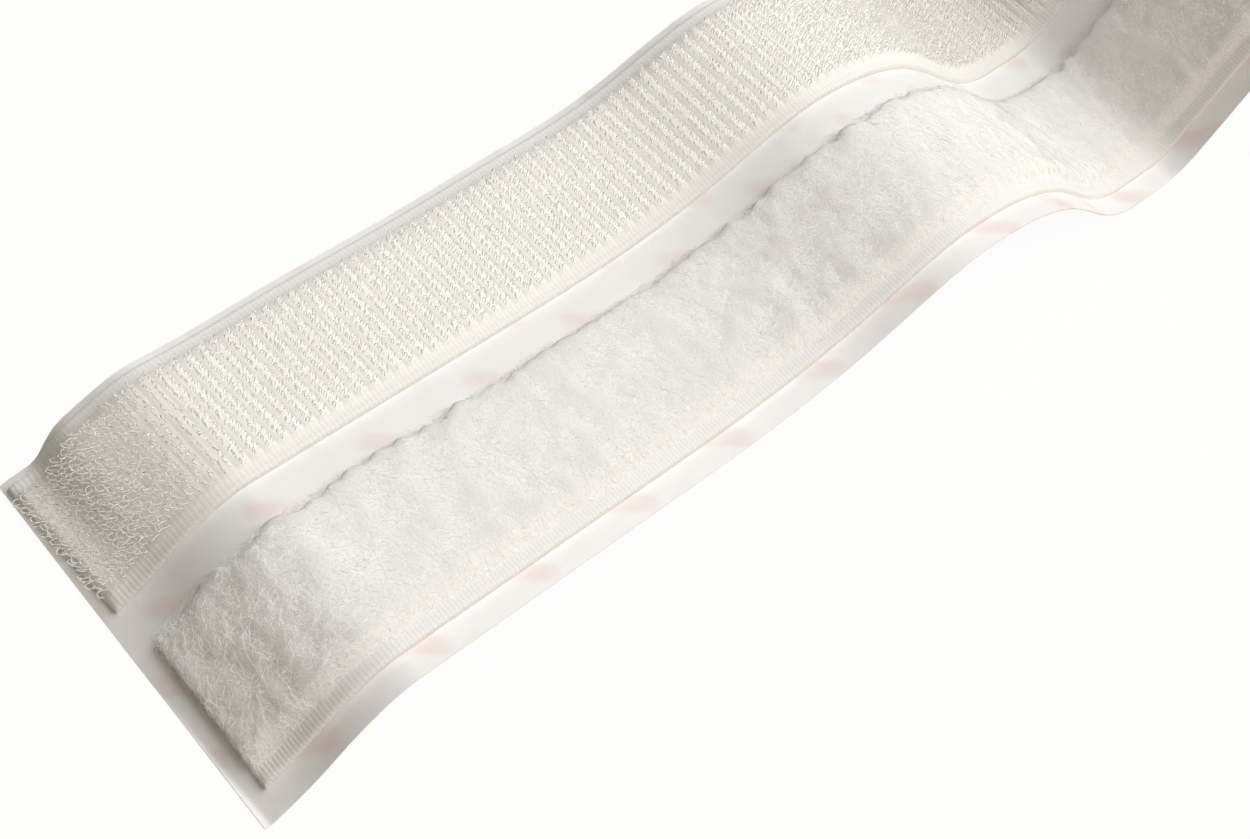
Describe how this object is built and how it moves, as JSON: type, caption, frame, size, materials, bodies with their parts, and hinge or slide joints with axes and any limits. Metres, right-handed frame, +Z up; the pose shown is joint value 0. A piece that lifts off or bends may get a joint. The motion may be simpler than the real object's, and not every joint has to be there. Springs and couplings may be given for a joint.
{
  "type": "hook and loop tape roll",
  "caption": "Self-adhesive hook tape and loop tape side by side on one release liner, free end laid out and peelable, the rest wound into a coreless roll.",
  "frame": {"origin": "on the table, under the middle of the whole strip's box", "axes": "+X along the strip from its free end to the roll, +Y towards the hook tape's side, +Z up"},
  "size_m": [0.2532, 0.0494, 0.0632],
  "materials": {
    "liner_film": "translucent film, satin",
    "adhesive": "tacky, pale",
    "hook_weave": "tight woven nylon, ribbed selvages",
    "hook_nylon": "clear monofilament hooks",
    "loop_weave": "tight woven nylon, ribbed selvage",
    "loop_nylon": "brushed loop pile"
  },
  "bodies": {
    "roll": {"roll_liner": "liner_film", "roll_hook_adhesive": "adhesive", "roll_hook_ground": "hook_weave", "roll_hook_field": "hook_nylon", "roll_loop_adhesive": "adhesive", "roll_loop_ground": "loop_weave", "roll_loop_pile": "loop_nylon"},
    "tail": {"tail_liner": "liner_film", "tail_hook_adhesive": "adhesive", "tail_hook_ground": "hook_weave", "tail_hook_field": "hook_nylon", "tail_loop_adhesive": "adhesive", "tail_loop_ground": "loop_weave", "tail_loop_pile": "loop_nylon"},
    "hook_flap": {"hook_flap_adhesive": "adhesive", "hook_flap_ground": "hook_weave", "hook_flap_field": "hook_nylon"},
    "hook_tip": {"hook_tip_adhesive": "adhesive", "hook_tip_ground": "hook_weave", "hook_tip_field": "hook_nylon"},
    "loop_flap": {"loop_flap_adhesive": "adhesive", "loop_flap_ground": "loop_weave", "loop_flap_pile": "loop_nylon"},
    "loop_tip": {"loop_tip_adhesive": "adhesive", "loop_tip_ground": "loop_weave", "loop_tip_pile": "loop_nylon"}
  },
  "joints": [
    {"name": "tail_lift", "type": "hinge", "parent": "roll", "child": "tail", "pos_m": [0.02343, 0, 0.00105], "axis": [0, 1, 0], "range_deg": [0, 60]},
    {"name": "hook_peel", "type": "hinge", "parent": "tail", "child": "hook_flap", "pos_m": [-0.07957, 0.01425, 0.01175], "axis": [0, 1, 0], "range_deg": [0, 55]},
    {"name": "hook_curl", "type": "hinge", "parent": "hook_flap", "child": "hook_tip", "pos_m": [-0.10257, 0.01425, 0.01175], "axis": [0, 1, 0], "range_deg": [0, 55]},
    {"name": "loop_peel", "type": "hinge", "parent": "tail", "child": "loop_flap", "pos_m": [-0.07957, -0.01155, 0.01175], "axis": [0, 1, 0], "range_deg": [0, 55]},
    {"name": "loop_curl", "type": "hinge", "parent": "loop_flap", "child": "loop_tip", "pos_m": [-0.10257, -0.01155, 0.01175], "axis": [0, 1, 0], "range_deg": [0, 55]}
  ]
}
